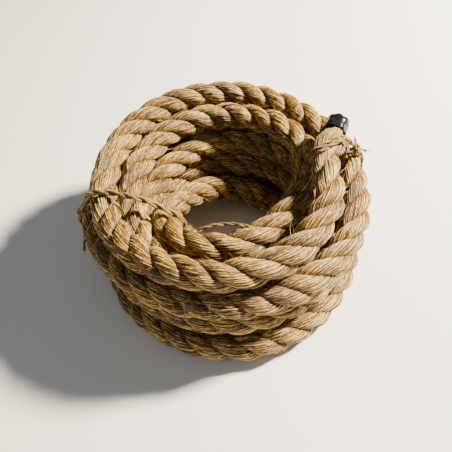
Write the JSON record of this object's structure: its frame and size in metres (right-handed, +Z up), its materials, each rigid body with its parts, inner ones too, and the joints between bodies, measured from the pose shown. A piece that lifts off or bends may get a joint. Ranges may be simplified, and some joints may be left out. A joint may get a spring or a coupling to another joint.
{
  "type": "coiled dock line",
  "caption": "Three-strand manila dock line wound in a low round coil with a loose inner turn, tied with yarn on two sides, its free end taped.",
  "frame": {"origin": "on the floor, under the middle of the coil", "axes": "+Z up, out of the coil's hole; the free taped end lies on top at +X, pointing towards +X and +Y"},
  "size_m": [0.2471, 0.2456, 0.1131],
  "materials": {
    "manila": "three-strand manila fibre, golden brown, with pale straw yarns and stray hairs",
    "tying_yarn": "single twisted manila yarn, frayed at its ends",
    "black_tape": "glossy black tape, wrapped tight and wrinkled"
  },
  "bodies": {
    "root": {"rope_coil": "manila", "loose_turn": "manila", "outer_end": "manila", "outer_end_tape": "black_tape", "inner_end_tape": "black_tape", "left_tie": "tying_yarn", "right_tie": "tying_yarn", "loose_yarn": "tying_yarn"}
  },
  "joints": []
}
